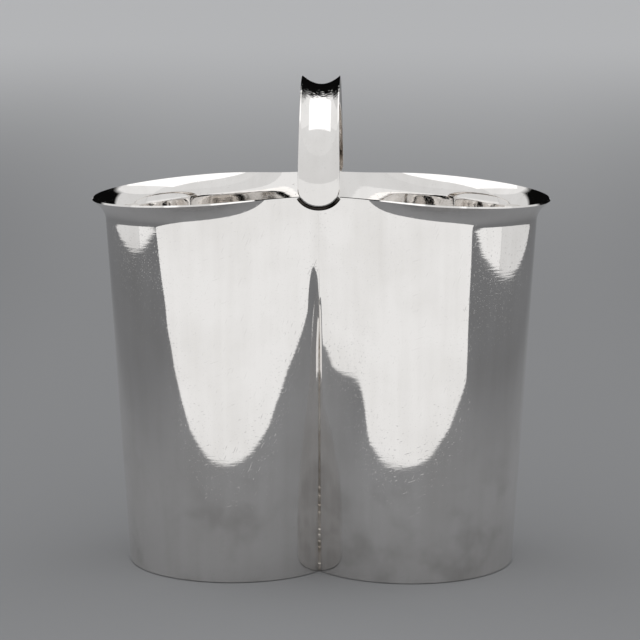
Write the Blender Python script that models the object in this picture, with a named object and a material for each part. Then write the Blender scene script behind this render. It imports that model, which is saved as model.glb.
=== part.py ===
# Double champagne cooler in silver: two raised lobes soldered along a front and a back seam,
# a flat base plate let in between them, and a hoop handle whose feet are soldered over the waist.
# The front is -Y, +Z is up, and the origin lies under the middle of the base plate.
import math

import bmesh
import bpy

# Driving dimensions of the sheet and its joints, in metres
SHEET = 0.0012
GAP = 0.0003
SEAM_WIDTH = 0.0012
SOLDER_RADIUS = 0.0010

# Driving dimensions of the body: the outline is two lobes that meet in a crease at the waist.
# A pinch is how far that crease would lie inside the lobes' greatest depth if it weren't filled.
BASE_LOBE_RADIUS = 0.0634
BASE_PINCH = 0.0280
RIM_LOBE_RADIUS = 0.0690
RIM_PINCH = 0.0350
TIP_HEIGHT = 0.2190
WAIST_RISE = 0.0092
PLATE_THICKNESS = 0.0015

# Driving dimensions of the crease, which the hammer fills up the flank and once more towards the rim.
# The fill is deepest at the seam, and it thins out over its width.
FLANK_FILL = 0.0110
RIM_FILL = 0.0110
FILL_WIDTH_FOOT = 0.0120
FILL_WIDTH_GAIN = 0.0300
FILL_WIDTH_FLARE = 0.0130
CREASE_ROUNDING = 0.0008
RIM_ROUNDING = 0.0142

# Driving dimensions of the flared lip, which fades out towards the waist
LIP_HEIGHT = 0.0120
LIP_REACH = 0.0072
LIP_FADE_FROM = 0.0180
LIP_FADE_TO = 0.0720

# Driving dimensions of the strap that makes the handle
STRAP_THICKNESS = 0.0020
STRAP_WIDTH_FOOT = 0.0242
STRAP_WIDTH_CROWN = 0.0228
STRAP_TROUGH = 0.0054
ARCH_RISE = 0.0572
FOOT_LENGTH = 0.0062
TONGUE_ABOVE_RIM = 0.0045

# Shares of the height and exponents that shape the curves
FLANK_FILL_SHARE = 0.75
RIM_FILL_START = 0.35
FILL_POWER = 2.6
ROUNDING_POWER = 4.0
RISE_ROUNDING = 0.15
LIP_POWER = 2.2
FOOT_BLUNTNESS = math.radians(18)
COLUMN_CLOSENESS = 0.35

# How finely each form is cut
WALL_COLUMNS = 36
BODY_ROWS = 16
LIP_ROWS = 5
PLATE_POINTS = 30
STRAP_COLUMNS = 8
ARCH_STATIONS = 36
FOOT_STATIONS = 5
SOLDER_POINTS = 22
SOLDER_BEVEL_RESOLUTION = 2

# Half widths of the body, from the lobes and how far they run into each other
BASE_OFFSET = math.sqrt(2 * BASE_LOBE_RADIUS * BASE_PINCH - BASE_PINCH ** 2)
BASE_HALF_WIDTH = BASE_OFFSET + BASE_LOBE_RADIUS
RIM_HALF_WIDTH = math.sqrt(2 * RIM_LOBE_RADIUS * RIM_PINCH - RIM_PINCH ** 2) + RIM_LOBE_RADIUS

# The tongue at each end of the strap is half an ellipse, of this length
TONGUE_LENGTH = FOOT_LENGTH + TONGUE_ABOVE_RIM

# Where each half of the body is cut for the seam, and the solder that lies between the cuts
SEAM_HALF = SEAM_WIDTH / 2
WALL_EDGE = SEAM_HALF + GAP
RIM_REACH = RIM_HALF_WIDTH + LIP_REACH

SILVER = (0.93, 0.92, 0.90)
SOLDER = (0.62, 0.60, 0.56)


def smooth_step(value):
    """Rise from 0 to 1 with level ends."""
    value = min(max(value, 0.0), 1.0)
    return value * value * (3 - 2 * value)


def between(start, end, share):
    return start + (end - start) * share


def clear_scene():
    for item in list(bpy.data.objects):
        bpy.data.objects.remove(item, do_unlink=True)


def make_material(name, colour, roughness):
    material = bpy.data.materials.new(name)
    material.use_nodes = True
    shader = material.node_tree.nodes["Principled BSDF"]
    shader.inputs["Base Color"].default_value = (*colour, 1.0)
    shader.inputs["Metallic"].default_value = 1.0
    shader.inputs["Roughness"].default_value = roughness
    return material


def rim_nearness(share):
    """Rise ever faster from 0, where the crease starts to open out, to 1 at the rim."""
    return (max(share - RIM_FILL_START, 0.0) / (1 - RIM_FILL_START)) ** 2


def outline_at(share):
    """Lobe radius, lobe offset from the middle and crease rounding at a share of the height."""
    half_width = between(BASE_HALF_WIDTH, RIM_HALF_WIDTH, share)
    radius = between(BASE_LOBE_RADIUS, RIM_LOBE_RADIUS, share)
    rounding = CREASE_ROUNDING + RIM_ROUNDING * rim_nearness(share) ** ROUNDING_POWER
    offset = math.hypot(half_width, rounding) - radius
    return radius, offset, rounding


def crease_fill(reach, share):
    """How far the filled crease stands out of the lobe at a reach from the middle."""
    near = rim_nearness(share)
    depth = FLANK_FILL * smooth_step(share / FLANK_FILL_SHARE) + RIM_FILL * near
    width = FILL_WIDTH_FOOT + FILL_WIDTH_GAIN * share + FILL_WIDTH_FLARE * near
    return depth * max(1 - reach / width, 0.0) ** FILL_POWER


def edge_angle(share, across):
    """Angle round the lobe at which the outline is at the given distance from the middle."""
    radius, offset, rounding = outline_at(share)
    return math.acos((math.hypot(across, rounding) - offset) / radius)


def wall_depth(across, share):
    """Outer half depth of the body at a distance from the middle, without the lip."""
    radius, offset, rounding = outline_at(share)
    reach = math.hypot(across, rounding)
    return math.sqrt(radius ** 2 - (reach - offset) ** 2) + crease_fill(reach, share)


def rim_height(across):
    """Height of the rim, which climbs from the two tips to the waist."""
    share = min(abs(across) / RIM_REACH, 1.0)
    flat = math.hypot(1.0, RISE_ROUNDING) - RISE_ROUNDING
    fall = (math.hypot(share, RISE_ROUNDING) - RISE_ROUNDING) / flat
    return TIP_HEIGHT + WAIST_RISE * (1 - fall)


def lip_offset(across, below_rim):
    """How far the lip stands out of the wall at a distance below the rim."""
    climb = max(1 - below_rim / LIP_HEIGHT, 0.0)
    spread = smooth_step((across - LIP_FADE_FROM) / (LIP_FADE_TO - LIP_FADE_FROM))
    return LIP_REACH * spread * climb ** LIP_POWER


def row_heights(top):
    """Heights of a column's rows: even up to the lip, then closer through it."""
    lip_start = top - LIP_HEIGHT
    body = [lip_start * row / BODY_ROWS for row in range(BODY_ROWS)]
    lip = [lip_start + LIP_HEIGHT * row / LIP_ROWS for row in range(LIP_ROWS + 1)]
    return body + lip


def column_turn(share_round):
    """Share of the edge angle at a column: close together at the seam, wider at the tip."""
    side = 2 * share_round - 1
    away = 1 - abs(side)
    turned = away * away / (away + COLUMN_CLOSENESS * (1 - away))
    return math.copysign(1 - turned, side)


def wall_point(share, turn, below_rim):
    """Point of the outer wall, with its lip, on the +X lobe."""
    radius, offset, rounding = outline_at(share)
    angle = edge_angle(share, WALL_EDGE) * turn
    reach = offset + radius * math.cos(angle)
    across = math.sqrt(max(reach ** 2 - rounding ** 2, 0.0))
    depth = radius * math.sin(angle) + math.copysign(crease_fill(reach, share), angle)
    normal_x = across * math.cos(angle)
    normal_y = reach * math.sin(angle)
    length = math.hypot(normal_x, normal_y)
    lip = lip_offset(across, below_rim)
    return across + lip * normal_x / length, depth + lip * normal_y / length


def grid_object(name, columns, material, thickness, side):
    """Sheet through columns of points, thickened to one side of itself."""
    mesh = bpy.data.meshes.new(name)
    form = bmesh.new()
    rows = [[form.verts.new(point) for point in column] for column in columns]
    for left, right in zip(rows, rows[1:]):
        for low in range(len(left) - 1):
            form.faces.new((left[low], right[low], right[low + 1], left[low + 1]))
    form.to_mesh(mesh)
    form.free()
    mesh.materials.append(material)
    mesh.shade_smooth()
    item = bpy.data.objects.new(name, mesh)
    bpy.context.collection.objects.link(item)
    solidify = item.modifiers.new("sheet", "SOLIDIFY")
    solidify.thickness = thickness
    solidify.offset = side
    solidify.use_even_offset = True
    solidify.use_rim = True
    return item


def make_wall(name, side, material):
    """One raised lobe, from its front cut round the tip to its back cut."""
    columns = []
    for column in range(WALL_COLUMNS + 1):
        turn = column_turn(column / WALL_COLUMNS) * side
        rim_across = wall_point(1.0, turn, LIP_HEIGHT)[0]
        top = rim_height(rim_across)
        points = []
        for height in row_heights(top):
            across, depth = wall_point(height / top, turn, top - height)
            points.append((across * side, depth, height))
        columns.append(points)
    return grid_object(name, columns, material, SHEET, -1.0)


def make_seam(name, facing, material):
    """Line of silver solder that fills the joint between the two lobes."""
    top = rim_height(0.0)
    columns = []
    for across in (-SEAM_HALF, SEAM_HALF):
        points = []
        for height in row_heights(top):
            depth = wall_depth(WALL_EDGE, height / top)
            points.append((-across * facing, depth * facing, height))
        columns.append(points)
    return grid_object(name, columns, material, SHEET, -1.0)


def make_base_plate(material):
    """Flat figure-of-eight plate let in between the walls, flush with their foot."""
    radius = BASE_LOBE_RADIUS - SHEET - GAP
    waist = math.acos(-BASE_OFFSET / radius)
    points = []
    for side in (1, -1):
        for step in range(PLATE_POINTS):
            angle = waist * (2 * step / PLATE_POINTS - 1)
            across = BASE_OFFSET + radius * math.cos(angle)
            points.append((side * across, side * radius * math.sin(angle), 0.0))
    form = bmesh.new()
    lower = form.faces.new([form.verts.new(point) for point in points])
    lifted = bmesh.ops.extrude_face_region(form, geom=[lower])
    raised = [item for item in lifted["geom"] if isinstance(item, bmesh.types.BMVert)]
    bmesh.ops.translate(form, verts=raised, vec=(0.0, 0.0, PLATE_THICKNESS))
    bmesh.ops.recalc_face_normals(form, faces=form.faces[:])
    mesh = bpy.data.meshes.new("base_plate")
    form.to_mesh(mesh)
    form.free()
    mesh.materials.append(material)
    item = bpy.data.objects.new("base_plate", mesh)
    bpy.context.collection.objects.link(item)
    return item


def tongue_share(height):
    """Share of its full width that the strap has at a height, narrowing through the tongue."""
    below = max(rim_height(0.0) + TONGUE_ABOVE_RIM - height, 0.0) / TONGUE_LENGTH
    return math.sqrt(max(1 - below * below, 0.0))


def foot_section(height, facing):
    """Inner face of the tongue, which lies on the wall just below the rim."""
    half = STRAP_WIDTH_FOOT / 2 * tongue_share(height)
    points = []
    for column in range(STRAP_COLUMNS + 1):
        across = half * (2 * column / STRAP_COLUMNS - 1)
        depth = wall_depth(abs(across), height / rim_height(0.0)) + GAP
        points.append((across, depth * facing, height))
    return points


def arch_section(angle):
    """Inner face of the strap over the arch, troughed with its hollow side outwards."""
    foot_depth = wall_depth(0.0, 1.0) + GAP
    rim_half = STRAP_WIDTH_FOOT / 2 * tongue_share(rim_height(0.0))
    foot_trough = wall_depth(rim_half, 1.0) - wall_depth(0.0, 1.0)
    climb = smooth_step(math.sin(angle))
    depth = -foot_depth * math.cos(angle)
    height = rim_height(0.0) + ARCH_RISE * math.sin(angle)
    half = between(STRAP_WIDTH_FOOT, STRAP_WIDTH_CROWN, climb) / 2 * tongue_share(height)
    trough = between(foot_trough, STRAP_TROUGH, climb)
    normal_y = -math.cos(angle) / foot_depth
    normal_z = math.sin(angle) / ARCH_RISE
    length = math.hypot(normal_y, normal_z)
    points = []
    for column in range(STRAP_COLUMNS + 1):
        share = 2 * column / STRAP_COLUMNS - 1
        lift = trough * share * share / length
        points.append((half * share, depth + lift * normal_y, height + lift * normal_z))
    return points


def make_handle(material):
    """One forged strap: a tongue foot, the arch over the waist, and the other foot."""
    tongue_top = rim_height(0.0) + TONGUE_ABOVE_RIM
    rim_turn = math.acos(TONGUE_ABOVE_RIM / TONGUE_LENGTH)
    turns = [between(FOOT_BLUNTNESS, rim_turn, step / FOOT_STATIONS) for step in range(FOOT_STATIONS)]
    heights = [tongue_top - TONGUE_LENGTH * math.cos(turn) for turn in turns]
    front = [foot_section(height, -1) for height in heights]
    arch = [arch_section(math.pi * step / ARCH_STATIONS) for step in range(ARCH_STATIONS + 1)]
    back = [foot_section(height, 1) for height in reversed(heights)]
    return grid_object("handle", front + arch + back, material, STRAP_THICKNESS, -1.0)


def make_foot_solder(name, facing, material):
    """Bead of solder round the tongue, on the wall and just clear of both."""
    stand_off = GAP + SOLDER_RADIUS
    half = STRAP_WIDTH_FOOT / 2 + stand_off
    length = TONGUE_LENGTH + stand_off
    rim = rim_height(0.0)
    start = math.asin((TONGUE_ABOVE_RIM + SOLDER_RADIUS) / length)
    curve = bpy.data.curves.new(name, "CURVE")
    curve.dimensions = "3D"
    curve.bevel_depth = SOLDER_RADIUS
    curve.bevel_resolution = SOLDER_BEVEL_RESOLUTION
    curve.use_fill_caps = True
    spline = curve.splines.new("POLY")
    spline.points.add(SOLDER_POINTS)
    for step, point in enumerate(spline.points):
        angle = between(start, math.pi - start, step / SOLDER_POINTS)
        across = half * math.cos(angle)
        height = rim + TONGUE_ABOVE_RIM - length * math.sin(angle)
        depth = wall_depth(abs(across), height / rim) + stand_off
        point.co = (across, depth * facing, height, 1.0)
    curve.materials.append(material)
    item = bpy.data.objects.new(name, curve)
    bpy.context.collection.objects.link(item)
    return item


clear_scene()
silver = make_material("polished_silver", SILVER, 0.12)
solder = make_material("silver_solder", SOLDER, 0.35)
make_wall("right_wall", 1, silver)
make_wall("left_wall", -1, silver)
make_seam("front_seam", -1, solder)
make_seam("back_seam", 1, solder)
make_base_plate(silver)
make_handle(silver)
make_foot_solder("front_foot_solder", -1, solder)
make_foot_solder("back_foot_solder", 1, solder)
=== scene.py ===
# Looks of a double champagne cooler: hand-raised silver, soldered at the waist, with a fixed hoop handle.
import math

import bmesh
import bpy
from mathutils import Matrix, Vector


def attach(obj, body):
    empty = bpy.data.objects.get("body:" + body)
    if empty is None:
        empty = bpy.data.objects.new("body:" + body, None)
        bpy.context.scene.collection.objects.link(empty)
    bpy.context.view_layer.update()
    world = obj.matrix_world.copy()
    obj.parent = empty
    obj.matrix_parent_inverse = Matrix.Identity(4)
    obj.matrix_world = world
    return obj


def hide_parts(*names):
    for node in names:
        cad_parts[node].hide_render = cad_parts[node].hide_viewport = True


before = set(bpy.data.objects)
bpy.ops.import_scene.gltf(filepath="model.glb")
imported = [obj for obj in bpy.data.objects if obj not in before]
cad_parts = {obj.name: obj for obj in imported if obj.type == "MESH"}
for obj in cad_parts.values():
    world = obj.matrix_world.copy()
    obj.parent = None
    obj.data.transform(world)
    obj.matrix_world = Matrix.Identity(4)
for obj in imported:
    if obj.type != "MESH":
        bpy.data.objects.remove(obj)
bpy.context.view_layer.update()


# The two lobes.
# Each is one sheet of sterling silver, 1.2 mm thick, raised with hammers over stakes and then polished.
# Its rim is flared into a lip, and its two upright edges are cut straight for the soldered seams.
SHEET = 0.0012
SEAM_CLEARANCE = 0.0003
SEAM_OPENING = 0.0003
SEAM_OPEN_TO = 0.58
SEAM_CLOSE_LENGTH = 0.24
SEAM_CLOSED_SHARE = 0.06
FOOT_LIFT = 0.0005
BASE_LOBE_RADIUS = 0.0634
BASE_PINCH = 0.0280
RIM_LOBE_RADIUS = 0.0690
RIM_PINCH = 0.0350
FLANK_FILL = 0.0110
FLANK_FILL_SHARE = 0.75
RIM_FILL = 0.0110
RIM_FILL_START = 0.35
FILL_POWER = 2.6
FILL_WIDTH_FOOT = 0.0120
FILL_WIDTH_GAIN = 0.0300
FILL_WIDTH_FLARE = 0.0130
CREASE_ROUNDING = 0.0008
RIM_ROUNDING = 0.0142
ROUNDING_POWER = 4.0
CREASE_LEAN = 0.30
LEAN_WIDTH = 0.060
GROOVE_DEPTH = 0.0014
GROOVE_WIDTHS = {"left_wall": 0.0060, "right_wall": 0.0018}
GROOVE_FADE_FROM = 0.60
GROOVE_FADE_LENGTH = 0.20
TIP_HEIGHT = 0.2190
WAIST_RISE = 0.0092
RISE_ROUNDING = 0.15
LIP_HEIGHT = 0.0120
LIP_REACH = 0.0072
LIP_FADE_FROM = 0.0180
LIP_FADE_TO = 0.0720
LIP_POWER = 2.2
HAMMER_SPACING = 0.034
HAMMER_DEPTH = 0.00016

base_offset = math.sqrt(2 * BASE_LOBE_RADIUS * BASE_PINCH - BASE_PINCH ** 2)
base_half_width = base_offset + BASE_LOBE_RADIUS
rim_half_width = math.sqrt(2 * RIM_LOBE_RADIUS * RIM_PINCH - RIM_PINCH ** 2) + RIM_LOBE_RADIUS


def add_node(tree, kind, inputs=(), **settings):
    """Add one node with its settings, link the sockets given to it and write its numbers."""
    node = tree.nodes.new(kind)
    for name, value in settings.items():
        setattr(node, name, value)
    pairs = inputs.items() if isinstance(inputs, dict) else enumerate(inputs)
    for key, value in pairs:
        if isinstance(value, bpy.types.NodeSocket):
            tree.links.new(value, node.inputs[key])
        else:
            node.inputs[key].default_value = value
    return node


def work_out(tree, known, steps):
    """Add one maths node for each step, whose inputs are numbers or the names of earlier values."""
    for name, operation, *inputs in steps:
        given = [known[item] if isinstance(item, str) else item for item in inputs]
        known[name] = add_node(tree, "ShaderNodeMath", given, operation=operation).outputs[0]
    return known


def sized_tree(name, sizes):
    """Start a geometry tree whose named inputs are its sizes, and give its input sockets by name."""
    tree = bpy.data.node_groups.new(name, "GeometryNodeTree")
    tree.interface.new_socket("Geometry", in_out="OUTPUT", socket_type="NodeSocketGeometry")
    for size, value in sizes.items():
        kind = "NodeSocketInt" if isinstance(value, int) else "NodeSocketFloat"
        socket = tree.interface.new_socket(size, in_out="INPUT", socket_type=kind)
        socket.default_value = value
    return tree, {socket.name: socket for socket in add_node(tree, "NodeGroupInput").outputs if socket.name}


def made_by(tree, name, sizes=None, finish=None):
    """Make the plain mesh object that a geometry tree gives at these sizes."""
    item = bpy.data.objects.new(name, bpy.data.meshes.new(name))
    bpy.context.scene.collection.objects.link(item)
    nodes = item.modifiers.new(name, "NODES")
    nodes.node_group = tree
    for socket in tree.interface.items_tree:
        if socket.in_out == "INPUT" and socket.name in (sizes or {}):
            nodes[socket.identifier] = sizes[socket.name]
    if finish:
        finish(item)
    bpy.context.view_layer.update()
    mesh = bpy.data.meshes.new_from_object(item.evaluated_get(bpy.context.evaluated_depsgraph_get()))
    item.modifiers.clear()
    item.data = mesh
    mesh.name = name
    mesh.shade_smooth()
    mesh.set_sharp_from_angle(angle=math.radians(40))
    return item


def linear(hex_colour):
    """Turn an sRGB hex colour into linear red, green, blue and alpha."""
    parts = [int(hex_colour[place:place + 2], 16) / 255 for place in (1, 3, 5)]
    return (*[part / 12.92 if part <= 0.04045 else ((part + 0.055) / 1.055) ** 2.4 for part in parts], 1.0)


# Sterling silver, hand polished: bright and faintly warm, with fine lines left by the buffing wheel that
# run round the body, a few stray scratches and pits, and smudges of tarnish where it is set down.
# Real buffing lines lie under 0.1 mm apart. They and the scratches are drawn coarser, so that they show.
SILVER_CLEAN = "#F4F2F0"
SILVER_WARM = "#DBD8D4"
SILVER_TARNISH = "#87817A"
CLOUDS_PER_METRE = 26.0
SMEARS_PER_METRE = 95.0
BUFF_SPACING = 0.0012
BUFF_LENGTH = 0.016
BUFF_DEPTH = 0.31
STREAK_WIDTH = 0.0085
STREAK_LENGTH = 0.130
STREAK_WEIGHT = 0.6
WARM_FROM = 0.68
WARM_GAIN = 1.1
SCRATCH_LENGTH = 0.030
SCRATCH_WIDTH = 0.00016
SCRATCH_SLENDERNESS = 24.0
SCRATCH_CORE_SHARE = 0.4
SCRATCH_TURNS = ((0.5, 0.3, 0.2), (1.9, -0.6, 1.1), (0.1, 1.2, -0.7))
SCRATCH_SEED_START = 1.7
SCRATCH_SEED_STEP = 3.1
SCRATCH_SHIFTS = (1.0, 0.37, 0.71)
SMUDGE_SPACING = 0.030
SMUDGE_EDGES = (0.46, 0.72)
DENT_SPACING = 0.0017
PIT_SPACING = 0.022
PIT_RADIUS = 0.0004
PIT_CORE_SHARE = 0.5
MARK_DEPTH = 0.5
MARK_DARKNESS = 0.16
MARK_ROUGHNESS = 0.12
LEAST_ROUGHNESS = 0.014
SMEAR_ROUGHNESS = 0.030
FOOT_ROUGHNESS = 0.018
BUFF_ROUGHNESS = 0.02
BUMP_DISTANCE = 0.00002
BODY_CLEAR_AT = 0.110
BODY_STAIN = 0.35
BODY_DENTS = 0.4

# The places of a colour mix node's two colours and of its result
FIRST_COLOUR = 6
SECOND_COLOUR = 7
MIXED_COLOUR = 2


def scratch_set(tree, place, turn, seed):
    """Short straight scratches that run one way: long thin cells, of which only the cores are cut."""
    shift = [seed * share for share in SCRATCH_SHIFTS]
    turned = add_node(tree, "ShaderNodeMapping", {"Vector": place, "Rotation": turn, "Location": shift})
    long_way, short_way = 1 / SCRATCH_LENGTH, SCRATCH_SLENDERNESS / SCRATCH_LENGTH
    thin = add_node(tree, "ShaderNodeMapping", {
        "Vector": turned.outputs[0], "Scale": (long_way, short_way, short_way)})
    cells = add_node(tree, "ShaderNodeTexVoronoi", {"Vector": thin.outputs[0], "Scale": 1.0})
    core = SCRATCH_WIDTH * short_way
    cut = add_node(tree, "ShaderNodeMapRange", {
        0: cells.outputs["Distance"], 1: core * SCRATCH_CORE_SHARE, 2: core, 3: 1.0, 4: 0.0})
    return cut.outputs[0]


def polished_silver(name, worn_at, clear_at, stain, dents):
    """The silver's finish, with tarnish and small dents that thin out from one height to another."""
    material = bpy.data.materials.new(name)
    material.use_nodes = True
    tree = material.node_tree
    shader = tree.nodes["Principled BSDF"]
    place = add_node(tree, "ShaderNodeTexCoord").outputs["Object"]
    height = add_node(tree, "ShaderNodeSeparateXYZ", (place,)).outputs["Z"]
    clouds = add_node(tree, "ShaderNodeTexNoise", {"Vector": place, "Scale": CLOUDS_PER_METRE, "Detail": 4.0})
    smears = add_node(tree, "ShaderNodeTexNoise", {"Vector": place, "Scale": SMEARS_PER_METRE, "Detail": 5.0})
    smudges = add_node(tree, "ShaderNodeTexNoise", {
        "Vector": place, "Scale": 1 / SMUDGE_SPACING, "Detail": 3.0})
    smudge = add_node(tree, "ShaderNodeMapRange", {
        0: smudges.outputs["Fac"], 1: SMUDGE_EDGES[0], 2: SMUDGE_EDGES[1]}, interpolation_type="SMOOTHSTEP")
    dent = add_node(tree, "ShaderNodeTexNoise", {"Vector": place, "Scale": 1 / DENT_SPACING, "Detail": 1.0})
    buff_way = 1 / BUFF_LENGTH
    stretched = add_node(tree, "ShaderNodeMapping", {
        "Vector": place, "Scale": (buff_way, buff_way, 1 / BUFF_SPACING)})
    buffing = add_node(tree, "ShaderNodeTexNoise", {
        "Vector": stretched.outputs[0], "Scale": 1.0, "Detail": 3.0})
    across = 1 / STREAK_WIDTH
    upright = add_node(tree, "ShaderNodeMapping", {
        "Vector": place, "Scale": (across, across, 1 / STREAK_LENGTH)})
    streaks = add_node(tree, "ShaderNodeTexNoise", {
        "Vector": upright.outputs[0], "Scale": 1.0, "Detail": 2.0})
    low = add_node(tree, "ShaderNodeMapRange", {0: height, 1: worn_at, 2: clear_at, 3: 1.0, 4: 0.0},
                   interpolation_type="SMOOTHSTEP")
    pits = add_node(tree, "ShaderNodeTexVoronoi", {"Vector": place, "Scale": 1 / PIT_SPACING})
    pit_size = PIT_RADIUS / PIT_SPACING
    pit = add_node(tree, "ShaderNodeMapRange", {
        0: pits.outputs["Distance"], 1: pit_size * PIT_CORE_SHARE, 2: pit_size, 3: 1.0, 4: 0.0})
    known = {"low": low.outputs[0], "clouds": clouds.outputs["Fac"], "smears": smears.outputs["Fac"],
             "smudge": smudge.outputs[0], "dent": dent.outputs["Fac"], "buffing": buffing.outputs["Fac"],
             "streaks": streaks.outputs["Fac"], "pit": pit.outputs[0]}
    for index, turn in enumerate(SCRATCH_TURNS):
        seed = SCRATCH_SEED_STEP * index + SCRATCH_SEED_START
        known[f"scratch {index}"] = scratch_set(tree, place, turn, seed)
    work_out(tree, known, (
        ("patch", "MULTIPLY", "smudge", "low"),
        ("stain", "MULTIPLY", "patch", stain),
        ("mingled", "MULTIPLY_ADD", "streaks", STREAK_WEIGHT, "clouds"),
        ("warmth", "SUBTRACT", "mingled", WARM_FROM),
        ("warm", "MULTIPLY", "warmth", WARM_GAIN),
        ("both", "MAXIMUM", "scratch 0", "scratch 1"),
        ("scratches", "MAXIMUM", "both", "scratch 2"),
        ("marks", "MAXIMUM", "scratches", "pit"),
        ("cut", "MULTIPLY", "marks", -MARK_DEPTH),
        ("brushed", "MULTIPLY_ADD", "buffing", BUFF_DEPTH, "cut"),
        ("dented", "MULTIPLY", "dent", "low"),
        ("relief", "MULTIPLY_ADD", "dented", dents, "brushed"),
        ("dullness", "MULTIPLY_ADD", "smears", SMEAR_ROUGHNESS, LEAST_ROUGHNESS),
        ("haze", "MULTIPLY_ADD", "low", FOOT_ROUGHNESS, "dullness"),
        ("streaked", "MULTIPLY_ADD", "buffing", BUFF_ROUGHNESS, "haze"),
        ("roughness", "MULTIPLY_ADD", "marks", MARK_ROUGHNESS, "streaked"),
        ("grime", "MULTIPLY", "marks", MARK_DARKNESS),
        ("darkening", "MAXIMUM", "stain", "grime"),
    ))
    tone = add_node(tree, "ShaderNodeMix", data_type="RGBA", clamp_factor=True)
    tree.links.new(known["warm"], tone.inputs[0])
    tone.inputs[FIRST_COLOUR].default_value = linear(SILVER_CLEAN)
    tone.inputs[SECOND_COLOUR].default_value = linear(SILVER_WARM)
    stained = add_node(tree, "ShaderNodeMix", data_type="RGBA", clamp_factor=True)
    tree.links.new(known["darkening"], stained.inputs[0])
    tree.links.new(tone.outputs[MIXED_COLOUR], stained.inputs[FIRST_COLOUR])
    stained.inputs[SECOND_COLOUR].default_value = linear(SILVER_TARNISH)
    bump = add_node(tree, "ShaderNodeBump", {"Height": known["relief"], "Distance": BUMP_DISTANCE})
    tree.links.new(stained.outputs[MIXED_COLOUR], shader.inputs["Base Color"])
    tree.links.new(known["roughness"], shader.inputs["Roughness"])
    tree.links.new(bump.outputs["Normal"], shader.inputs["Normal"])
    shader.inputs["Metallic"].default_value = 1.0
    return material


silver = polished_silver("sterling_silver_hand_polished", 0.0, BODY_CLEAR_AT, BODY_STAIN, BODY_DENTS)

LOBE_COLUMNS = 181
LOBE_ROWS = 121
LOBE_SIZES = {
    "Columns": LOBE_COLUMNS,
    "Rows": LOBE_ROWS,
    "Side": 1.0,
    "Base Half Width": base_half_width,
    "Rim Half Width": rim_half_width,
    "Base Radius": BASE_LOBE_RADIUS,
    "Rim Radius": RIM_LOBE_RADIUS,
    "Flank Fill": FLANK_FILL,
    "Rim Fill": RIM_FILL,
    "Fill Width": FILL_WIDTH_FOOT,
    "Fill Width Gain": FILL_WIDTH_GAIN,
    "Fill Width Flare": FILL_WIDTH_FLARE,
    "Crease Rounding": CREASE_ROUNDING,
    "Rim Rounding": RIM_ROUNDING,
    "Crease Lean": CREASE_LEAN,
    "Groove Depth": GROOVE_DEPTH,
    "Groove Width": GROOVE_WIDTHS["right_wall"],
    "Edge": SEAM_OPENING,
    "Foot Lift": FOOT_LIFT,
    "Tip Height": TIP_HEIGHT,
    "Waist Rise": WAIST_RISE,
    "Lip Height": LIP_HEIGHT,
    "Lip Reach": LIP_REACH,
    "Hammer Depth": HAMMER_DEPTH,
}
LIP_SHARE_OF_ROWS = 0.22
COLUMN_CLOSENESS = 0.35

tree, size = sized_tree("raised_lobe", LOBE_SIZES)
grid = add_node(tree, "GeometryNodeMeshGrid", {"Size X": 1.0, "Size Y": 1.0, "Vertices X": size["Columns"],
                                               "Vertices Y": size["Rows"]})
unit = add_node(tree, "ShaderNodeSeparateXYZ", (grid.outputs["UV Map"],))
known = dict(size)
known["round"] = unit.outputs["X"]
known["up"] = unit.outputs["Y"]
rim_flat = math.hypot(1.0, RISE_ROUNDING) - RISE_ROUNDING
rim_reach = rim_half_width + LIP_REACH

# Columns lie close together at the two cut edges, and wider apart at the tip
work_out(tree, known, (
    ("side", "MULTIPLY_ADD", "round", 2.0, -1.0),
    ("from tip", "ABSOLUTE", "side"),
    ("away", "SUBTRACT", 1.0, "from tip"),
    ("away squared", "MULTIPLY", "away", "away"),
    ("closing", "MULTIPLY_ADD", "away", 1.0 - COLUMN_CLOSENESS, COLUMN_CLOSENESS),
    ("turned", "DIVIDE", "away squared", "closing"),
    ("unturned", "SUBTRACT", 1.0, "turned"),
    ("sign", "SIGN", "side"),
    ("turn one way", "MULTIPLY", "unturned", "sign"),
    ("turn", "MULTIPLY", "turn one way", "Side"),
))


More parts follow.
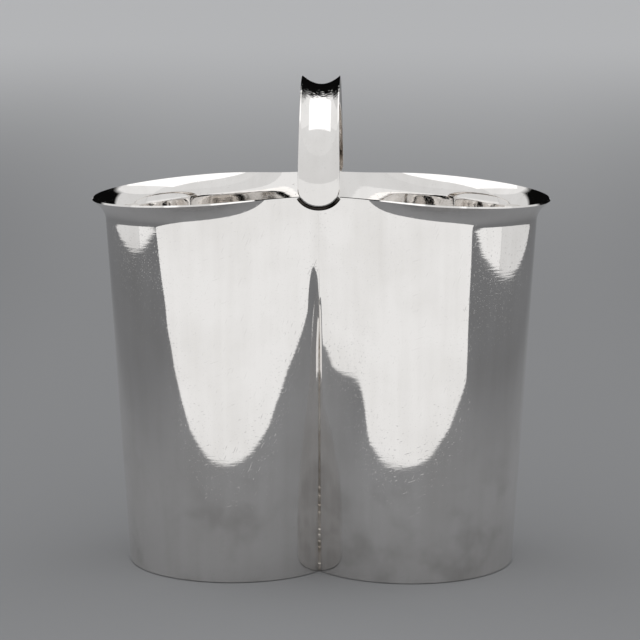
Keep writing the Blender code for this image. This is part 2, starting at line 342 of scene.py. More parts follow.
def outline_steps(share, tag):
    """Steps that give the outline's point at a share of the height, before the lip."""
    return (
        (tag + "width gain", "SUBTRACT", "Rim Half Width", "Base Half Width"),
        (tag + "half width", "MULTIPLY_ADD", tag + "width gain", share, "Base Half Width"),
        (tag + "radius gain", "SUBTRACT", "Rim Radius", "Base Radius"),
        (tag + "radius", "MULTIPLY_ADD", tag + "radius gain", share, "Base Radius"),
        (tag + "flank share", "DIVIDE", share, FLANK_FILL_SHARE),
        (tag + "flank in", "MINIMUM", tag + "flank share", 1.0),
        (tag + "slack", "MULTIPLY_ADD", tag + "flank in", -2.0, 3.0),
        (tag + "square", "MULTIPLY", tag + "flank in", tag + "flank in"),
        (tag + "smooth", "MULTIPLY", tag + "square", tag + "slack"),
        (tag + "flank fill", "MULTIPLY", tag + "smooth", "Flank Fill"),
        (tag + "past start", "SUBTRACT", share, RIM_FILL_START),
        (tag + "rim part", "DIVIDE", tag + "past start", 1.0 - RIM_FILL_START),
        (tag + "rim in", "MAXIMUM", tag + "rim part", 0.0),
        (tag + "near", "MULTIPLY", tag + "rim in", tag + "rim in"),
        (tag + "nearest", "POWER", tag + "near", ROUNDING_POWER),
        (tag + "fill", "MULTIPLY_ADD", tag + "near", "Rim Fill", tag + "flank fill"),
        (tag + "fill spread", "MULTIPLY_ADD", "Fill Width Gain", share, "Fill Width"),
        (tag + "fill width", "MULTIPLY_ADD", tag + "near", "Fill Width Flare", tag + "fill spread"),
        (tag + "rounding", "MULTIPLY_ADD", tag + "nearest", "Rim Rounding", "Crease Rounding"),
        (tag + "round squared", "MULTIPLY", tag + "rounding", tag + "rounding"),
        (tag + "centre sum", "MULTIPLY_ADD", tag + "half width", tag + "half width", tag + "round squared"),
        (tag + "centre root", "SQRT", tag + "centre sum"),
        (tag + "offset", "SUBTRACT", tag + "centre root", tag + "radius"),
        (tag + "past open", "SUBTRACT", share, SEAM_OPEN_TO),
        (tag + "shut part", "DIVIDE", tag + "past open", SEAM_CLOSE_LENGTH),
        (tag + "shut floor", "MAXIMUM", tag + "shut part", 0.0),
        (tag + "shut", "MINIMUM", tag + "shut floor", 1.0),
        (tag + "open", "MULTIPLY_ADD", tag + "shut", SEAM_CLOSED_SHARE - 1.0, 1.0),
        (tag + "edge", "MULTIPLY", "Edge", tag + "open"),
        (tag + "edge sum", "MULTIPLY_ADD", tag + "edge", tag + "edge", tag + "round squared"),
        (tag + "edge root", "SQRT", tag + "edge sum"),
        (tag + "edge reach", "SUBTRACT", tag + "edge root", tag + "offset"),
        (tag + "edge cosine", "DIVIDE", tag + "edge reach", tag + "radius"),
        (tag + "edge angle", "ARCCOSINE", tag + "edge cosine"),
        (tag + "angle", "MULTIPLY", tag + "edge angle", "turn"),
        (tag + "cosine", "COSINE", tag + "angle"),
        (tag + "sine", "SINE", tag + "angle"),
        (tag + "facing", "SIGN", tag + "sine"),
        (tag + "reach", "MULTIPLY_ADD", tag + "radius", tag + "cosine", tag + "offset"),
        (tag + "reach squared", "MULTIPLY", tag + "reach", tag + "reach"),
        (tag + "across squared", "SUBTRACT", tag + "reach squared", tag + "round squared"),
        (tag + "across", "SQRT", tag + "across squared"),
        (tag + "fill reach", "DIVIDE", tag + "reach", tag + "fill width"),
        (tag + "fill left", "SUBTRACT", 1.0, tag + "fill reach"),
        (tag + "fill room", "MAXIMUM", tag + "fill left", 0.0),
        (tag + "fill curve", "POWER", tag + "fill room", FILL_POWER),
        (tag + "filled", "MULTIPLY", tag + "fill curve", tag + "fill"),
        (tag + "lean reach", "DIVIDE", tag + "across", LEAN_WIDTH),
        (tag + "lean left", "SUBTRACT", 1.0, tag + "lean reach"),
        (tag + "lean room", "MAXIMUM", tag + "lean left", 0.0),
        (tag + "lean curve", "POWER", tag + "lean room", 2.0),
        (tag + "far", "SUBTRACT", 1.0, tag + "near"),
        (tag + "lean up", "MULTIPLY", tag + "smooth", tag + "far"),
        (tag + "lean span", "MULTIPLY", tag + "lean up", tag + "across"),
        (tag + "lean part", "MULTIPLY", tag + "lean span", tag + "lean curve"),
        (tag + "lean side", "MULTIPLY", tag + "lean part", "Side"),
        (tag + "lean", "MULTIPLY", tag + "lean side", "Crease Lean"),
        (tag + "leant", "SUBTRACT", tag + "filled", tag + "lean"),
        (tag + "past groove", "SUBTRACT", share, GROOVE_FADE_FROM),
        (tag + "fade part", "DIVIDE", tag + "past groove", GROOVE_FADE_LENGTH),
        (tag + "fade floor", "MAXIMUM", tag + "fade part", 0.0),
        (tag + "faded", "MINIMUM", tag + "fade floor", 1.0),
        (tag + "groove left", "SUBTRACT", 1.0, tag + "faded"),
        (tag + "groove reach", "DIVIDE", tag + "across", "Groove Width"),
        (tag + "groove room", "SUBTRACT", 1.0, tag + "groove reach"),
        (tag + "groove in", "MAXIMUM", tag + "groove room", 0.0),
        (tag + "groove curve", "POWER", tag + "groove in", 2.0),
        (tag + "groove part", "MULTIPLY", tag + "groove curve", tag + "groove left"),
        (tag + "groove", "MULTIPLY", tag + "groove part", "Groove Depth"),
        (tag + "creased", "SUBTRACT", tag + "leant", tag + "groove"),
        (tag + "fill depth", "MULTIPLY", tag + "creased", tag + "facing"),
        (tag + "depth", "MULTIPLY_ADD", tag + "radius", tag + "sine", tag + "fill depth"),
    )


# The rim climbs from the tips to the waist, so a column's height depends on where it meets the rim
known["rim share"] = add_node(tree, "ShaderNodeValue").outputs[0]
known["rim share"].default_value = 1.0
work_out(tree, known, outline_steps("rim share", "rim "))
work_out(tree, known, (
    ("tip share", "DIVIDE", "rim across", rim_reach),
    ("rise square", "MULTIPLY_ADD", "tip share", "tip share", RISE_ROUNDING ** 2),
    ("rise root", "SQRT", "rise square"),
    ("rise fall", "SUBTRACT", "rise root", RISE_ROUNDING),
    ("fall share", "DIVIDE", "rise fall", rim_flat),
    ("rise share", "SUBTRACT", 1.0, "fall share"),
    ("top", "MULTIPLY_ADD", "rise share", "Waist Rise", "Tip Height"),
    ("down", "SUBTRACT", 1.0, "up"),
    ("lip rows", "DIVIDE", "down", LIP_SHARE_OF_ROWS),
    ("in lip", "MINIMUM", "lip rows", 1.0),
    ("past lip", "SUBTRACT", "down", LIP_SHARE_OF_ROWS),
    ("body rows", "DIVIDE", "past lip", 1.0 - LIP_SHARE_OF_ROWS),
    ("in body", "MAXIMUM", "body rows", 0.0),
    ("lip drop", "MULTIPLY", "in lip", "Lip Height"),
    ("above foot", "SUBTRACT", "top", "Foot Lift"),
    ("body length", "SUBTRACT", "above foot", "Lip Height"),
    ("drop", "MULTIPLY_ADD", "in body", "body length", "lip drop"),
    ("height", "SUBTRACT", "top", "drop"),
    ("share", "DIVIDE", "height", "top"),
))
work_out(tree, known, outline_steps("share", ""))

# The lip stands out square to the outline, full on the lobes and fading towards the waist
known["spread"] = add_node(tree, "ShaderNodeMapRange", {0: known["across"], 1: LIP_FADE_FROM, 2: LIP_FADE_TO},
                           interpolation_type="SMOOTHSTEP").outputs[0]
work_out(tree, known, (
    ("climb", "SUBTRACT", 1.0, "in lip"),
    ("curl", "POWER", "climb", LIP_POWER),
    ("lip out", "MULTIPLY", "curl", "Lip Reach"),
    ("lip", "MULTIPLY", "lip out", "spread"),
    ("normal x", "MULTIPLY", "across", "cosine"),
    ("normal y", "MULTIPLY", "reach", "sine"),
    ("normal x squared", "MULTIPLY", "normal x", "normal x"),
    ("normal sum", "MULTIPLY_ADD", "normal y", "normal y", "normal x squared"),
    ("normal length", "SQRT", "normal sum"),
    ("step", "DIVIDE", "lip", "normal length"),
    ("out x", "MULTIPLY_ADD", "normal x", "step", "across"),
    ("place x", "MULTIPLY", "out x", "Side"),
    ("place y", "MULTIPLY_ADD", "normal y", "step", "depth"),
))
place = add_node(tree, "ShaderNodeCombineXYZ", (known["place x"], known["place y"], known["height"]))
raised = add_node(tree, "GeometryNodeSetPosition", {"Geometry": grid.outputs["Mesh"],
                                                    "Position": place.outputs[0]})
waves = add_node(tree, "ShaderNodeTexNoise", {"Vector": place.outputs[0], "Scale": 1 / HAMMER_SPACING,
                                              "Detail": 1.0})
known["waves"] = waves.outputs["Fac"]
work_out(tree, known, (
    ("centred", "SUBTRACT", "waves", 0.5),
    ("hammered", "MULTIPLY", "centred", "Hammer Depth"),
))
lift = add_node(tree, "ShaderNodeVectorMath", {0: add_node(tree, "GeometryNodeInputNormal").outputs[0],
                                               "Scale": known["hammered"]}, operation="SCALE")
hammered = add_node(tree, "GeometryNodeSetPosition", {
    "Geometry": raised.outputs[0], "Offset": lift.outputs[0]})
dressed = add_node(tree, "GeometryNodeSetMaterial", {"Geometry": hammered.outputs[0], "Material": silver})
add_node(tree, "NodeGroupOutput", {"Geometry": dressed.outputs[0]})


def thicken(item):
    """Give the sheet its thickness, inwards from the outer surface."""
    solidify = item.modifiers.new("sheet", "SOLIDIFY")
    solidify.thickness = SHEET
    solidify.offset = -1.0
    solidify.use_even_offset = True


for name, side in (("left_wall", -1.0), ("right_wall", 1.0)):
    wall = made_by(tree, name + "_raised", {"Side": side, "Groove Width": GROOVE_WIDTHS[name]}, thicken)
    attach(wall, "root")
    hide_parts(name)


# The seams.
# Each is a thin line of silver solder, run into the joint where the two lobes meet at the waist.
# It was filed nearly flush, but small blobs of solder and a little brown flux still stand on it low down.
SEAM_TOP = TIP_HEIGHT + WAIST_RISE
SEAM_POINTS = 260
SEAM_BEAD = 0.00050
SEAM_SINK = 0.00012
BEAD_LEAST_SHARE = 0.2
BLOB_RADIUS = 0.00044
BLOBS_FROM = 0.016
BLOBS_UP_TO = 0.26
BLOB_CHANCE = 0.22
BLOB_LEAST_STRETCH = (0.7, 0.8, 2.0)
BLOB_MOST_STRETCH = (1.1, 1.0, 6.0)
SOLDER_COLOUR = "#E2DED8"
SOLDER_BROWN = "#A59A8C"
SOLDER_ROUGHNESS = 0.20
RIPPLES_PER_METRE = 480.0
RIPPLE_DEPTH = 0.0001
FLUX_AND_SHADE_PER_METRE = 90.0
FLUX_AND_SHADE_EDGES = (0.38, 0.62)


def cast_solder(name, pale, dark, roughness):
    """Silver solder as it set, finely rippled: on the seams greyer than the sheet with brown flux in its
    hollows, on the handle's feet nearly black as painted crevice shade.
    """
    material = bpy.data.materials.new(name)
    material.use_nodes = True
    tree = material.node_tree
    shader = tree.nodes["Principled BSDF"]
    place = add_node(tree, "ShaderNodeTexCoord").outputs["Object"]
    ripples = add_node(tree, "ShaderNodeTexNoise", {
        "Vector": place, "Scale": RIPPLES_PER_METRE, "Detail": 3.0})
    flux_and_shade_mottle = add_node(tree, "ShaderNodeTexNoise", {"Vector": place, "Scale": FLUX_AND_SHADE_PER_METRE, "Detail": 4.0})
    tone = add_node(tree, "ShaderNodeValToRGB", {"Fac": flux_and_shade_mottle.outputs["Fac"]})
    for stop, position, colour in zip(tone.color_ramp.elements, FLUX_AND_SHADE_EDGES, (dark, pale)):
        stop.position = position
        stop.color = linear(colour)
    bump = add_node(tree, "ShaderNodeBump", {"Height": ripples.outputs["Fac"], "Distance": RIPPLE_DEPTH})
    tree.links.new(tone.outputs["Color"], shader.inputs["Base Color"])
    tree.links.new(bump.outputs["Normal"], shader.inputs["Normal"])
    shader.inputs["Roughness"].default_value = roughness
    shader.inputs["Metallic"].default_value = 1.0
    return material


solder = cast_solder("silver_solder_filed", SOLDER_COLOUR, SOLDER_BROWN, SOLDER_ROUGHNESS)
SEAM_SIZES = {**LOBE_SIZES, "Points": SEAM_POINTS, "Facing": -1.0, "Width": SEAM_BEAD,
              "Blob Radius": BLOB_RADIUS}
tree, size = sized_tree("soldered_seam", SEAM_SIZES)
line = add_node(tree, "GeometryNodeMeshLine", {"Count": size["Points"], "Offset": (0.0, 0.0, 0.0)})
known = dict(size)
known["index"] = add_node(tree, "GeometryNodeInputIndex").outputs[0]
known["turn"] = add_node(tree, "ShaderNodeValue").outputs[0]
known["turn"].default_value = 1.0
work_out(tree, known, (
    ("last", "SUBTRACT", "Points", 1.0),
    ("share", "DIVIDE", "index", "last"),
    *outline_steps("share", ""),
    ("sunk", "SUBTRACT", "depth", SEAM_SINK),
    ("place y", "MULTIPLY", "sunk", "Facing"),
    ("top", "ADD", "Tip Height", "Waist Rise"),
    ("height", "MULTIPLY", "share", "top"),
    ("radius", "MULTIPLY", "Width", 0.5),
    ("bead share", "MAXIMUM", "open", BEAD_LEAST_SHARE),
))
place = add_node(tree, "ShaderNodeCombineXYZ", (0.0, known["place y"], known["height"]))
laid = add_node(tree, "GeometryNodeSetPosition", {"Geometry": line.outputs[0], "Position": place.outputs[0]})
path = add_node(tree, "GeometryNodeMeshToCurve", {"Mesh": laid.outputs[0]})
section = add_node(tree, "GeometryNodeCurvePrimitiveCircle", {"Resolution": 10, "Radius": known["radius"]})
bead = add_node(tree, "GeometryNodeCurveToMesh", {
    "Curve": path.outputs[0], "Profile Curve": section.outputs[0], "Scale": known["bead share"],
    "Fill Caps": True})

# Blobs stand low down on the seam, but not so low that one would reach below the table
low_part = add_node(tree, "FunctionNodeCompare", {"A": known["share"], "B": BLOBS_UP_TO},
                    operation="LESS_THAN")
off_table = add_node(tree, "FunctionNodeCompare", {"A": known["share"], "B": BLOBS_FROM},
                     operation="GREATER_THAN")
blob_part = add_node(tree, "FunctionNodeBooleanMath", (low_part.outputs[0], off_table.outputs[0]),
                     operation="AND")
chance = add_node(tree, "FunctionNodeRandomValue", {"Probability": BLOB_CHANCE, "Seed": 11},
                  data_type="BOOLEAN")
chosen = add_node(tree, "FunctionNodeBooleanMath", (blob_part.outputs[0], chance.outputs["Value"]),
                  operation="AND")
drop = add_node(tree, "GeometryNodeMeshIcoSphere", {"Radius": size["Blob Radius"], "Subdivisions": 3})
spread = add_node(tree, "FunctionNodeRandomValue", {
    "Min": BLOB_LEAST_STRETCH, "Max": BLOB_MOST_STRETCH, "Seed": 5}, data_type="FLOAT_VECTOR")
drops = add_node(tree, "GeometryNodeInstanceOnPoints", {
    "Points": laid.outputs[0], "Selection": chosen.outputs[0], "Instance": drop.outputs["Mesh"],
    "Scale": spread.outputs["Value"]})
real = add_node(tree, "GeometryNodeRealizeInstances", {"Geometry": drops.outputs[0]})
joined = add_node(tree, "GeometryNodeJoinGeometry")
tree.links.new(bead.outputs[0], joined.inputs[0])
tree.links.new(real.outputs[0], joined.inputs[0])
dressed = add_node(tree, "GeometryNodeSetMaterial", {"Geometry": joined.outputs[0], "Material": solder})
add_node(tree, "NodeGroupOutput", {"Geometry": dressed.outputs[0]})

for name, facing in (("front_seam", -1.0), ("back_seam", 1.0)):
    seam = made_by(tree, name + "_solder", {"Facing": facing})
    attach(seam, "root")
    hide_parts(name)


# The base plate.
# A flat figure-of-eight of the same silver, cut to fit between the walls.
# It is soldered in at their foot, and is what the cooler rests on.
PLATE_THICKNESS = 0.0015
PLATE_POINTS = 96
PLATE_EDGE = 0.0003

plate_radius = BASE_LOBE_RADIUS - SHEET - SEAM_CLEARANCE
plate_waist = math.acos(-base_offset / plate_radius)
form = bmesh.new()
outline = []
for side in (1, -1):
    for step in range(PLATE_POINTS):
        angle = plate_waist * (2 * step / PLATE_POINTS - 1)
        across = base_offset + plate_radius * math.cos(angle)
        outline.append(form.verts.new((side * across, side * plate_radius * math.sin(angle), 0.0)))
lifted = bmesh.ops.extrude_face_region(form, geom=[form.faces.new(outline)])
raised = [item for item in lifted["geom"] if isinstance(item, bmesh.types.BMVert)]
bmesh.ops.translate(form, verts=raised, vec=(0.0, 0.0, PLATE_THICKNESS))
bmesh.ops.recalc_face_normals(form, faces=form.faces[:])
mesh = bpy.data.meshes.new("base_plate_cut")
form.to_mesh(mesh)
form.free()
mesh.materials.append(silver)
plate = bpy.data.objects.new("base_plate_cut", mesh)
bpy.context.scene.collection.objects.link(plate)
softened = plate.modifiers.new("broken_edge", "BEVEL")
softened.width = PLATE_EDGE
softened.segments = 2
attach(plate, "root")
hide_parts("base_plate")


# The handle.
# One forged strap of silver, 2 mm thick, troughed with its hollow side out and bent into a hoop.
# Its ends are tongues that lie on the wall at the waist, with rounded edges, and are soldered there.
STRAP_THICKNESS = 0.0020
STRAP_WIDTH_FOOT = 0.0242
STRAP_WIDTH_CROWN = 0.0228
STRAP_TROUGH = 0.0054
ARCH_RISE = 0.0572
FOOT_LENGTH = 0.0062
TONGUE_ABOVE_RIM = 0.0045
STRAP_ROUNDING = 0.0010
STRAP_COLUMNS = 28
FOOT_STATIONS = 18
ARCH_STATIONS = 160
CROWN_WORN_AT = 0.2850
CROWN_CLEAR_AT = 0.2792
CROWN_STAIN = 0.6
CROWN_DENTS = 12.0

tongue_top = SEAM_TOP + TONGUE_ABOVE_RIM
tongue_length = FOOT_LENGTH + TONGUE_ABOVE_RIM


def smooth_step(value):
    """Ease from 0 to 1, level at both ends."""
    value = min(max(value, 0.0), 1.0)
    return value * value * (3 - 2 * value)


def between(start, end, share):
    """Give the value at a share of the way from start to end."""
    return start + (end - start) * share


def wall_depth(across, share):
    """Outer half depth of the wall at a distance from the middle, without the lobes' lean and groove."""
    radius = between(BASE_LOBE_RADIUS, RIM_LOBE_RADIUS, share)
    near = (max(share - RIM_FILL_START, 0.0) / (1 - RIM_FILL_START)) ** 2
    fill = FLANK_FILL * smooth_step(share / FLANK_FILL_SHARE) + RIM_FILL * near
    width = FILL_WIDTH_FOOT + FILL_WIDTH_GAIN * share + FILL_WIDTH_FLARE * near
    rounding = CREASE_ROUNDING + RIM_ROUNDING * near ** ROUNDING_POWER
    offset = math.hypot(between(base_half_width, rim_half_width, share), rounding) - radius
    reach = math.hypot(across, rounding)
    return math.sqrt(radius ** 2 - (reach - offset) ** 2) + fill * max(1 - reach / width, 0.0) ** FILL_POWER


def rounded(distance):
    """Share of the strap's thickness at a distance from its edge."""
    inside = 1 - min(max(distance, 0.0) / STRAP_ROUNDING, 1.0)
    return math.sqrt(1 - inside * inside)


def strap_ring(base_points, outward, shares, middle):
    """Closed section of the strap: over its outer face, and back along its inner face."""
    outer = [point + outward * (middle + (STRAP_THICKNESS - middle) * share)
             for point, share in zip(base_points, shares)]
    inner = [point + outward * middle * (1 - share) for point, share in zip(base_points, shares)]
    return outer + inner[-2:0:-1]


def strap_columns():
    """Places across the strap from -1 to 1, close together at both edges."""
    return [-math.cos(math.pi * column / STRAP_COLUMNS) for column in range(STRAP_COLUMNS + 1)]


def foot_ring(turn, facing):
    """Section of the tongue, a half ellipse that lies on the wall below the rim."""
    half = STRAP_WIDTH_FOOT / 2 * math.sin(turn)
    below = tongue_length * math.cos(turn)
    height = tongue_top - below
    points, shares = [], []
    for place in strap_columns():
        across = half * place
        depth = wall_depth(abs(across), height / SEAM_TOP) + SEAM_CLEARANCE
        points.append(Vector((across, depth * facing, height)))
        level = math.hypot(across / (STRAP_WIDTH_FOOT / 2), below / tongue_length)
        slope = math.hypot(across / (STRAP_WIDTH_FOOT / 2) ** 2, below / tongue_length ** 2) / level
        shares.append(rounded((1 - level) / slope))
    return strap_ring(points, Vector((0.0, facing, 0.0)), shares, 0.0)


def arch_ring(angle):
    """Section of the hoop, whose trough deepens from the feet to the crown."""
    foot_depth = wall_depth(0.0, 1.0) + SEAM_CLEARANCE
    rim_half = STRAP_WIDTH_FOOT / 2 * math.sqrt(1 - (TONGUE_ABOVE_RIM / tongue_length) ** 2)
    foot_trough = wall_depth(rim_half, 1.0) - wall_depth(0.0, 1.0)
    climb = smooth_step(math.sin(angle))
    centre_height = SEAM_TOP + ARCH_RISE * math.sin(angle)
    below = max(tongue_top - centre_height, 0.0) / tongue_length
    half = between(STRAP_WIDTH_FOOT, STRAP_WIDTH_CROWN, climb) / 2 * math.sqrt(1 - below ** 2)
    trough = between(foot_trough, STRAP_TROUGH, climb)
    outward = Vector((0.0, -math.cos(angle) / foot_depth, math.sin(angle) / ARCH_RISE)).normalized()
    centre = Vector((0.0, -foot_depth * math.cos(angle), centre_height))
    places = strap_columns()
    points = [centre + outward * trough * place * place + Vector((half * place, 0.0, 0.0))
              for place in places]
    shares = [rounded(half * (1 - abs(place))) for place in places]
    return strap_ring(points, outward, shares, STRAP_THICKNESS / 2 * climb)


rim_turn = math.acos(TONGUE_ABOVE_RIM / tongue_length)
foot_turns = [rim_turn * step / FOOT_STATIONS for step in range(1, FOOT_STATIONS)]
rings = [foot_ring(turn, -1.0) for turn in foot_turns]
rings += [arch_ring(math.pi * step / ARCH_STATIONS) for step in range(ARCH_STATIONS + 1)]
rings += [foot_ring(turn, 1.0) for turn in reversed(foot_turns)]
tip_height = SEAM_TOP - FOOT_LENGTH
tip_depth = wall_depth(0.0, tip_height / SEAM_TOP) + SEAM_CLEARANCE

form = bmesh.new()
rows = [[form.verts.new(point) for point in ring] for ring in rings]
for left, right in zip(rows, rows[1:]):
    for place in range(len(left)):
        form.faces.new((left[place - 1], right[place - 1], right[place], left[place]))
for row, facing in ((rows[0], -1.0), (rows[-1], 1.0)):
    tip = form.verts.new((0.0, tip_depth * facing, tip_height))
    for place in range(len(row)):
        form.faces.new((row[place - 1], row[place], tip))
bmesh.ops.recalc_face_normals(form, faces=form.faces[:])
mesh = bpy.data.meshes.new("hoop_handle")
form.to_mesh(mesh)
form.free()
mesh.shade_smooth()
thumbed = polished_silver("sterling_silver_thumbed", CROWN_WORN_AT, CROWN_CLEAR_AT, CROWN_STAIN, CROWN_DENTS)
mesh.materials.append(thumbed)
handle = bpy.data.objects.new("hoop_handle", mesh)
bpy.context.scene.collection.objects.link(handle)
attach(handle, "root")
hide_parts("handle")


# The solder round the handle's feet.
# A bead of silver solder drawn round each tongue, left unpolished and coloured nearly black: painted shade
# for the shadowed crevice between the tongue and the wall.
BEAD_RADIUS = 0.00105
BEAD_OVERLAP = 0.1
BEAD_POINTS = 90
# Painted shade: these near-black colours stand for the shadowed crevice round each tongue.
CREVICE_SHADE_DARK = "#141210"
CREVICE_SHADE_PALE = "#4A4642"
CREVICE_BEAD_ROUGHNESS = 0.42
BEAD_STAND_OUT = 0.5

# Painted shade: the bead's dark mottled colour stands for the shadow in the crevice at the tongue's edge.
painted_crevice_shade = cast_solder("solder_painted_crevice_shade", CREVICE_SHADE_PALE, CREVICE_SHADE_DARK, CREVICE_BEAD_ROUGHNESS)
stand_off = BEAD_RADIUS * (1 - BEAD_OVERLAP)
bead_start = math.asin((TONGUE_ABOVE_RIM + BEAD_RADIUS) / (tongue_length + stand_off))
for name, facing in (("front_foot_solder", -1.0), ("back_foot_solder", 1.0)):
    curve = bpy.data.curves.new(name + "_bead", "CURVE")
    curve.dimensions = "3D"
    curve.bevel_depth = BEAD_RADIUS
    curve.bevel_resolution = 4
    curve.use_fill_caps = True
    spline = curve.splines.new("POLY")
    spline.points.add(BEAD_POINTS)
    for step, point in enumerate(spline.points):
        angle = between(bead_start, math.pi - bead_start, step / BEAD_POINTS)
        across = (STRAP_WIDTH_FOOT / 2 + stand_off) * math.cos(angle)
        height = tongue_top - (tongue_length + stand_off) * math.sin(angle)
        depth = wall_depth(abs(across), height / SEAM_TOP) + BEAD_RADIUS * BEAD_STAND_OUT
        point.co = (across, depth * facing, height, 1.0)
    item = bpy.data.objects.new(name + "_bead", curve)
    bpy.context.scene.collection.objects.link(item)
    mesh = bpy.data.meshes.new_from_object(item.evaluated_get(bpy.context.evaluated_depsgraph_get()))
    bpy.data.objects.remove(item)
    mesh.shade_smooth()
    mesh.materials.append(painted_crevice_shade)
    bead = bpy.data.objects.new(name + "_bead", mesh)
    bpy.context.scene.collection.objects.link(bead)
    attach(bead, "root")
    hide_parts(name)


# The table and the studio.
# A plain matt table top, mid grey near the cooler, with straight cut edges. Its colour carries painted light
# and shade: it grows paler far behind the cooler as painted light, and darker to both sides as painted shade.
# Soft panels stand round it and a soft box hangs overhead, placed for what the silver mirrors.
TABLE_ROUGHNESS = 0.9
TABLE_NEAR = "#939496"
TABLE_SIDES_PAINTED_SHADE = "#7E7F81"
TABLE_FAR_PAINTED_LIGHT = "#C4C5C7"
PAINTED_LIGHT_FROM = 0.8
PAINTED_LIGHT_TO = 4.5
PAINTED_SHADE_FROM = 0.22
PAINTED_SHADE_TO = 0.62
TABLE_FRONT = ((-0.27, -0.312), (0.45, -0.328))
TABLE_LEFT = ((-4.0, 14.0), (-4.0, 4.0), (-1.02, 1.0), (-1.02, -0.50))
TABLE_RIGHT = ((0.90, -0.72), (0.90, 1.0), (4.0, 4.0), (4.0, 14.0))

mesh = bpy.data.meshes.new("table_top")
corners = [*TABLE_LEFT, *TABLE_FRONT, *TABLE_RIGHT]
mesh.from_pydata([(across, depth, 0.0) for across, depth in corners], [], [range(len(corners))])
table = bpy.data.objects.new("table_top", mesh)
bpy.context.scene.collection.objects.link(table)
table_finish = bpy.data.materials.new("table_matt_laminate")
table_finish.use_nodes = True
tree = table_finish.node_tree
spot = add_node(tree, "ShaderNodeSeparateXYZ", (add_node(tree, "ShaderNodeTexCoord").outputs["Object"],))
# Painted light: the table's colour grows paler far behind the cooler.
painted_far_light = add_node(tree, "ShaderNodeMapRange", {0: spot.outputs["Y"], 1: PAINTED_LIGHT_FROM, 2: PAINTED_LIGHT_TO},
                 interpolation_type="SMOOTHSTEP")
aside = add_node(tree, "ShaderNodeMath", (spot.outputs["X"],), operation="ABSOLUTE")
# Painted shade: the table's colour grows darker towards both sides.
painted_side_shade = add_node(tree, "ShaderNodeMapRange", {0: aside.outputs[0], 1: PAINTED_SHADE_FROM, 2: PAINTED_SHADE_TO},
                  interpolation_type="SMOOTHSTEP")
near_tone = add_node(tree, "ShaderNodeMix", {
    0: painted_side_shade.outputs[0], FIRST_COLOUR: linear(TABLE_NEAR), SECOND_COLOUR: linear(TABLE_SIDES_PAINTED_SHADE)},
    data_type="RGBA")
table_tone = add_node(tree, "ShaderNodeMix", {
    0: painted_far_light.outputs[0], FIRST_COLOUR: near_tone.outputs[MIXED_COLOUR], SECOND_COLOUR: linear(TABLE_FAR_PAINTED_LIGHT)},
    data_type="RGBA")
laminate = tree.nodes["Principled BSDF"]
tree.links.new(table_tone.outputs[MIXED_COLOUR], laminate.inputs["Base Color"])
laminate.inputs["Roughness"].default_value = TABLE_ROUGHNESS
laminate.inputs["Specular IOR Level"].default_value = 0.0
mesh.materials.append(table_finish)

world = bpy.data.worlds.new("soft_studio")
bpy.context.scene.world = world
world.use_nodes = True
tree = world.node_tree
tree.nodes.clear()
look = add_node(tree, "ShaderNodeSeparateXYZ", (add_node(tree, "ShaderNodeTexCoord").outputs["Generated"],))
known = {"x": look.outputs[0], "y": look.outputs[1], "z": look.outputs[2]}
work_out(tree, known, (
    ("rise", "ARCSINE", "z"),
    ("elevation", "DEGREES", "rise"),
    ("front", "MULTIPLY", "y", -1.0),
    ("heading", "ARCTAN2", "x", "front"),
    ("bearing", "DEGREES", "heading"),
    ("azimuth", "ABSOLUTE", "bearing"),
    ("above", "MAXIMUM", "z", 0.01),
    ("box x", "DIVIDE", "x", "above"),
    ("box y", "DIVIDE", "y", "above"),
))
PANELS = (
    ("front reflector", "azimuth", (-10, 88), "elevation", (-60, 10), 1.5, 1.10),
    ("upper front wall", "azimuth", (-10, 88), "elevation", (5, 45), 2.0, 0.92),
    ("front ceiling", "azimuth", (-10, 88), "elevation", (40, 80), 2.0, 0.97),
    ("side reflectors", "azimuth", (85, 139), "elevation", (-60, 40), 3.0, 0.90),
    ("high side reflectors", "azimuth", (80, 150), "elevation", (36, 80), 3.0, 1.10),
    ("overhead soft box", "box x", (-0.74, 0.60), "box y", (-0.26, 0.82), 0.04, 1.60),
)
LEAST_GLOW = 0.004

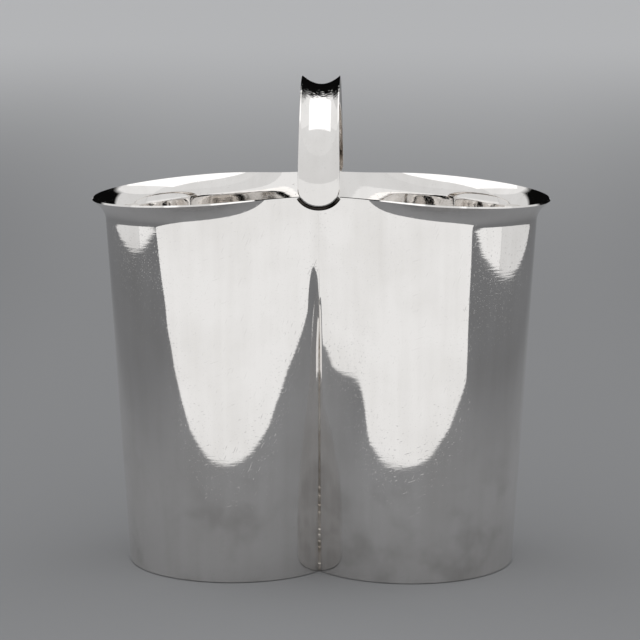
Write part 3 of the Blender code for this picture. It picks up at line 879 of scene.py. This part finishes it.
light = 0.0
for name, first, (low, high), second, (under, over), soft, strength in PANELS:
    edges = []
    for value, start, end in ((first, low, high), (second, under, over)):
        for rim, rising in ((start, 1.0), (end, 0.0)):
            edge = add_node(tree, "ShaderNodeMapRange", {
                0: known[value], 1: rim - soft, 2: rim + soft, 3: 1.0 - rising, 4: rising})
            edges.append(edge.outputs[0])
    glow = edges[0]
    for edge in edges[1:]:
        glow = add_node(tree, "ShaderNodeMath", (glow, edge), operation="MULTIPLY").outputs[0]
    glow = add_node(tree, "ShaderNodeMath", (glow, strength), operation="MULTIPLY").outputs[0]
    light = add_node(tree, "ShaderNodeMath", (glow, light), operation="MAXIMUM").outputs[0]
light = add_node(tree, "ShaderNodeMath", (light, LEAST_GLOW), operation="MAXIMUM").outputs[0]
sky = add_node(tree, "ShaderNodeBackground", {"Strength": light})
add_node(tree, "ShaderNodeOutputWorld", {"Surface": sky.outputs[0]})

# Light that falls into a polished vessel is mirrored many times over before it comes out again
MIRROR_BOUNCES = 12
bpy.context.scene.cycles.glossy_bounces = MIRROR_BOUNCES


# The camera.
# It looks down a little on the front, from 1.6 m away, as the photograph does.
CAMERA_TURN = math.radians(1.4)
CAMERA_RISE = math.radians(9.92)
CAMERA_DISTANCE = 1.62
CAMERA_AIM = Vector((-0.0007, 0.0, 0.1459))
FOCAL_PIXELS = 2700
PICTURE_PIXELS = 640
SENSOR_WIDTH = 36.0

level = math.cos(CAMERA_RISE)
away = Vector((math.sin(CAMERA_TURN) * level, -math.cos(CAMERA_TURN) * level, math.sin(CAMERA_RISE)))
camera = bpy.data.objects.new("camera", bpy.data.cameras.new("camera"))
bpy.context.scene.collection.objects.link(camera)
camera.location = CAMERA_AIM + away * CAMERA_DISTANCE
camera.rotation_euler = away.to_track_quat("Z", "Y").to_euler()
camera.data.sensor_width = SENSOR_WIDTH
camera.data.lens = SENSOR_WIDTH * FOCAL_PIXELS / PICTURE_PIXELS
bpy.context.scene.camera = camera
bpy.context.scene.view_settings.view_transform = "Standard"
